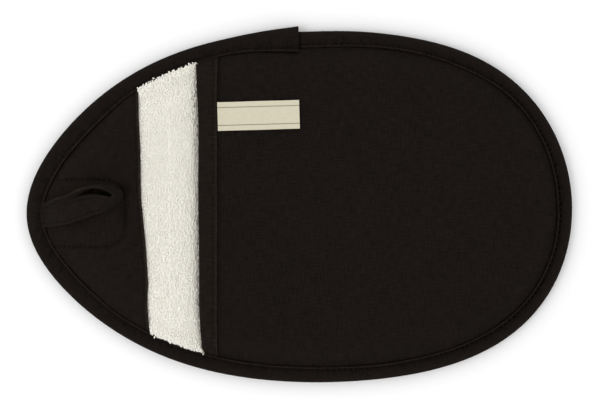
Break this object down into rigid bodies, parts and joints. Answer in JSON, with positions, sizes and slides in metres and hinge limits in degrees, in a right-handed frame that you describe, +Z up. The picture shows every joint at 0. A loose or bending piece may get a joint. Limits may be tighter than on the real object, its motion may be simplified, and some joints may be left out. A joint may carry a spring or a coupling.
{
  "type": "oven mitt",
  "caption": "Flat oval padded oven mitt with a finger pocket, a thumb pocket, a bare terry grip strip between them, bound edge, hanging loop and woven label.",
  "frame": {"origin": "centre of the mitt's footprint, on the surface its back rests on", "axes": "+X along the mitt toward the finger end, +Y across it toward the side with the label, +Z up out of the pockets"},
  "size_m": [0.27, 0.1758, 0.0285],
  "materials": {
    "cover_cloth": "matte",
    "lining_cloth": "matte",
    "wadding": "matte",
    "terry_cloth": "matte",
    "binding_cloth": "matte",
    "sewing_thread": "matte",
    "label_satin": "satin",
    "loop_cloth": "matte",
    "magnet_sheet": "matte"
  },
  "bodies": {
    "finger_half": {"back_cover_finger_side": "cover_cloth", "back_wadding_finger_side": "wadding", "terry_lining_finger_side": "terry_cloth", "finger_pocket_lining": "lining_cloth", "finger_pocket_wadding": "wadding", "finger_pocket_cover": "cover_cloth", "finger_pocket_band": "binding_cloth", "band_stitching": "sewing_thread", "edge_binding_finger_side": "binding_cloth", "edge_binding_lap": "binding_cloth", "edge_stitching_finger_side": "sewing_thread"},
    "label": {"woven_label": "label_satin"},
    "thumb_half": {"back_cover_thumb_side": "cover_cloth", "back_wadding_thumb_side": "wadding", "terry_lining_thumb_side": "terry_cloth", "thumb_pocket_lining": "lining_cloth", "thumb_pocket_wadding": "wadding", "thumb_pocket_cover": "cover_cloth", "magnet_pouch": "lining_cloth", "magnet": "magnet_sheet", "magnet_pocket_stitching": "sewing_thread", "edge_binding_thumb_side": "binding_cloth", "edge_stitching_thumb_side": "sewing_thread"},
    "loop": {"hanging_loop": "loop_cloth"}
  },
  "joints": [
    {"name": "mitt_fold", "type": "hinge", "parent": "finger_half", "child": "thumb_half", "pos_m": [-0.0642, 0, 0.0076], "axis": [0, 1, 0], "range_deg": [0, 90]},
    {"name": "loop_swing", "type": "hinge", "parent": "thumb_half", "child": "loop", "pos_m": [-0.1276, 0, 0.0085], "axis": [0, -1, 0], "range_deg": [0, 120]},
    {"name": "label_lift", "type": "hinge", "parent": "finger_half", "child": "label", "pos_m": [-0.0403, 0, 0.01735], "axis": [0, -1, 0], "range_deg": [0, 110]}
  ]
}
